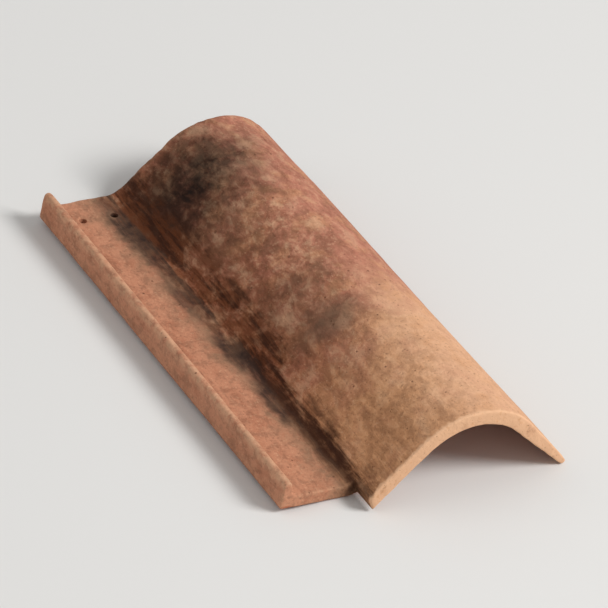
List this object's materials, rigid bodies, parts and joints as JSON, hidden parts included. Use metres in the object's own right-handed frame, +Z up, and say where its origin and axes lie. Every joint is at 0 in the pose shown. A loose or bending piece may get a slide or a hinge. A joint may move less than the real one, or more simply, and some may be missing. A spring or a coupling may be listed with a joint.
{
  "type": "clay roof tile",
  "caption": "One-piece fired clay roof tile with an S-shaped section: a flat pan with a turned-up lip, and a round barrel that laps the next tile.",
  "frame": {"origin": "centre of the bounding box in plan, at floor level, with the tile lying by itself on its keel and its lapping edge", "axes": "+X across the tile from the pan to the barrel, +Y along the tile from the front edge to the head, +Z up"},
  "size_m": [0.2544, 0.44, 0.0775],
  "materials": {
    "fired_clay": "unglazed fired clay, matt"
  },
  "bodies": {
    "root": {"roof_tile": "fired_clay"}
  },
  "joints": []
}
